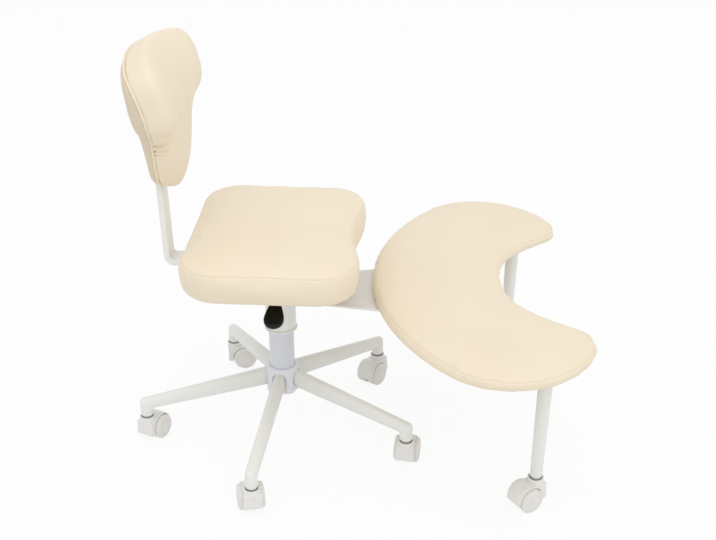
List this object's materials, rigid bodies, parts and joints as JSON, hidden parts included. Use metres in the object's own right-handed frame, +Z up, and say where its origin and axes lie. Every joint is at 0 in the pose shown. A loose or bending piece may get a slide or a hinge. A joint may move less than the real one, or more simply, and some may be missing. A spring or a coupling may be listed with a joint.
{
  "type": "cross-legged office chair",
  "caption": "Armless swivel office chair with a low waisted backrest and a crescent footrest on its own caster legs that swings round the gas-lift column.",
  "frame": {"origin": "middle of the footprint box, on the floor", "axes": "+X the way the seat faces, towards the footrest; +Y to the sitter's left; +Z up"},
  "size_m": [0.8768, 0.7504, 0.8279],
  "materials": {
    "black_gloss_plastic": "black gloss plastic",
    "bright_steel": "bright steel",
    "chromed_steel": "chromed steel",
    "cool_white_painted_steel": "semi-gloss cool white paint",
    "cool_white_plastic": "moulded cool white plastic",
    "cream_faux_leather": "smooth satin faux leather",
    "off_white_caster_plastic": "moulded off-white nylon",
    "off_white_wheel_plastic": "moulded off-white nylon wheel",
    "plywood": "plywood board",
    "warm_white_painted_steel": "semi-gloss warm white powder coat",
    "white_nylon": "white nylon bearing plastic"
  },
  "bodies": {
    "base": {"base_hub": "warm_white_painted_steel", "base_leg_1": "warm_white_painted_steel", "base_leg_2": "warm_white_painted_steel", "base_leg_3": "warm_white_painted_steel", "base_leg_4": "warm_white_painted_steel", "base_leg_5": "warm_white_painted_steel", "base_cover": "cool_white_plastic", "gas_lift_outer_tube": "cool_white_painted_steel", "gas_lift_guide_bush": "white_nylon", "gas_lift_piston_rod": "bright_steel", "gas_lift_clip": "bright_steel", "stool_stop_collar": "warm_white_painted_steel", "caster_stem_1": "bright_steel", "caster_stem_2": "bright_steel", "caster_stem_3": "bright_steel", "caster_stem_4": "bright_steel", "caster_stem_5": "bright_steel"},
    "footrest": {"stool_sleeve": "warm_white_painted_steel", "stool_sleeve_liner": "white_nylon", "stool_arm": "warm_white_painted_steel", "stool_board": "plywood", "stool_cushion": "cream_faux_leather", "stool_leg_left": "warm_white_painted_steel", "stool_leg_right": "warm_white_painted_steel", "stool_leg_flange_left": "warm_white_painted_steel", "stool_leg_flange_right": "warm_white_painted_steel", "caster_stem_stool_left": "bright_steel", "caster_stem_stool_right": "bright_steel"},
    "lift": {"gas_lift_cylinder": "chromed_steel"},
    "button": {"release_button": "bright_steel"},
    "seat": {"seat_tray": "warm_white_painted_steel", "seat_board": "plywood", "seat_cushion": "cream_faux_leather", "back_bar": "warm_white_painted_steel", "back_panel": "cream_faux_leather", "back_cushion": "cream_faux_leather"},
    "lever": {"lever_rod": "bright_steel", "lever_knob": "black_gloss_plastic"},
    "caster_1": {"caster_hood_1": "off_white_caster_plastic"},
    "wheels_1": {"caster_wheel_left_1": "off_white_wheel_plastic", "caster_wheel_right_1": "off_white_wheel_plastic"},
    "caster_2": {"caster_hood_2": "off_white_caster_plastic"},
    "wheels_2": {"caster_wheel_left_2": "off_white_wheel_plastic", "caster_wheel_right_2": "off_white_wheel_plastic"},
    "caster_3": {"caster_hood_3": "off_white_caster_plastic"},
    "wheels_3": {"caster_wheel_left_3": "off_white_wheel_plastic", "caster_wheel_right_3": "off_white_wheel_plastic"},
    "caster_4": {"caster_hood_4": "off_white_caster_plastic"},
    "wheels_4": {"caster_wheel_left_4": "off_white_wheel_plastic", "caster_wheel_right_4": "off_white_wheel_plastic"},
    "caster_5": {"caster_hood_5": "off_white_caster_plastic"},
    "wheels_5": {"caster_wheel_left_5": "off_white_wheel_plastic", "caster_wheel_right_5": "off_white_wheel_plastic"},
    "caster_stool_left": {"caster_hood_stool_left": "off_white_caster_plastic"},
    "wheels_stool_left": {"caster_wheel_left_stool_left": "off_white_wheel_plastic", "caster_wheel_right_stool_left": "off_white_wheel_plastic"},
    "caster_stool_right": {"caster_hood_stool_right": "off_white_caster_plastic"},
    "wheels_stool_right": {"caster_wheel_left_stool_right": "off_white_wheel_plastic", "caster_wheel_right_stool_right": "off_white_wheel_plastic"}
  },
  "joints": [
    {"name": "footrest_swing", "type": "hinge", "parent": "base", "child": "footrest", "pos_m": [-0.1375, 0, 0.3], "axis": [0, 0, 1], "continuous": true},
    {"name": "seat_lift", "type": "slide", "parent": "base", "child": "lift", "axis": [0, 0, 1], "range_m": [0, 0.1]},
    {"name": "seat_swivel", "type": "hinge", "parent": "lift", "child": "seat", "pos_m": [-0.1375, 0, 0.37], "axis": [0, 0, 1], "continuous": true},
    {"name": "lever_lift", "type": "hinge", "parent": "seat", "child": "lever", "pos_m": [-0.13235, -0.0469, 0.3953], "axis": [-0.9981, 0.061, 0], "range_deg": [0, 4], "stiffness_Nm_per_rad": 0.6, "springref_deg": -8.59},
    {"name": "button_press", "type": "slide", "parent": "lift", "child": "button", "axis": [0, 0, -1], "range_m": [0, 0.0036]},
    {"name": "caster_swivel_1", "type": "hinge", "parent": "base", "child": "caster_1", "pos_m": [-0.41428, -0.04235, 0.0564], "axis": [0, 0, 1], "continuous": true},
    {"name": "wheel_roll_1", "type": "hinge", "parent": "caster_1", "child": "wheels_1", "pos_m": [-0.40442, -0.02213, 0.025], "axis": [-0.8988, 0.4384, 0], "continuous": true},
    {"name": "caster_swivel_2", "type": "hinge", "parent": "base", "child": "caster_2", "pos_m": [-0.18275, -0.27632, 0.0564], "axis": [0, 0, 1], "continuous": true},
    {"name": "wheel_roll_2", "type": "hinge", "parent": "caster_2", "child": "wheels_2", "pos_m": [-0.18781, -0.2544, 0.025], "axis": [-0.9744, -0.225, 0], "continuous": true},
    {"name": "caster_swivel_3", "type": "hinge", "parent": "base", "child": "caster_3", "pos_m": [0.11131, -0.12842, 0.0564], "axis": [0, 0, 1], "continuous": true},
    {"name": "wheel_roll_3", "type": "hinge", "parent": "caster_3", "child": "wheels_3", "pos_m": [0.11561, -0.10633, 0.025], "axis": [-0.9816, 0.1908, 0], "continuous": true},
    {"name": "caster_swivel_4", "type": "hinge", "parent": "base", "child": "caster_4", "pos_m": [0.06152, 0.19695, 0.0564], "axis": [0, 0, 1], "continuous": true},
    {"name": "wheel_roll_4", "type": "hinge", "parent": "caster_4", "child": "wheels_4", "pos_m": [0.04927, 0.17808, 0.025], "axis": [0.8387, -0.5446, 0], "continuous": true},
    {"name": "caster_swivel_5", "type": "hinge", "parent": "base", "child": "caster_5", "pos_m": [-0.26331, 0.25014, 0.0564], "axis": [0, 0, 1], "continuous": true},
    {"name": "wheel_roll_5", "type": "hinge", "parent": "caster_5", "child": "wheels_5", "pos_m": [-0.24098, 0.25289, 0.025], "axis": [-0.1219, 0.9925, 0], "continuous": true},
    {"name": "caster_swivel_stool_left", "type": "hinge", "parent": "footrest", "child": "caster_stool_left", "pos_m": [0.3525, 0.243, 0.0564], "axis": [0, 0, 1], "continuous": true},
    {"name": "wheel_roll_stool_left", "type": "hinge", "parent": "caster_stool_left", "child": "wheels_stool_left", "pos_m": [0.33136, 0.2353, 0.025], "axis": [0.342, -0.9397, 0], "continuous": true},
    {"name": "caster_swivel_stool_right", "type": "hinge", "parent": "footrest", "child": "caster_stool_right", "pos_m": [0.3525, -0.243, 0.0564], "axis": [0, 0, 1], "continuous": true},
    {"name": "wheel_roll_stool_right", "type": "hinge", "parent": "caster_stool_right", "child": "wheels_stool_right", "pos_m": [0.33342, -0.25492, 0.025], "axis": [0.5299, -0.848, 0], "continuous": true}
  ],
  "couplings": [
    {"joint": "button_press", "follows": "lever_lift", "m_per_rad": 0.0508}
  ]
}
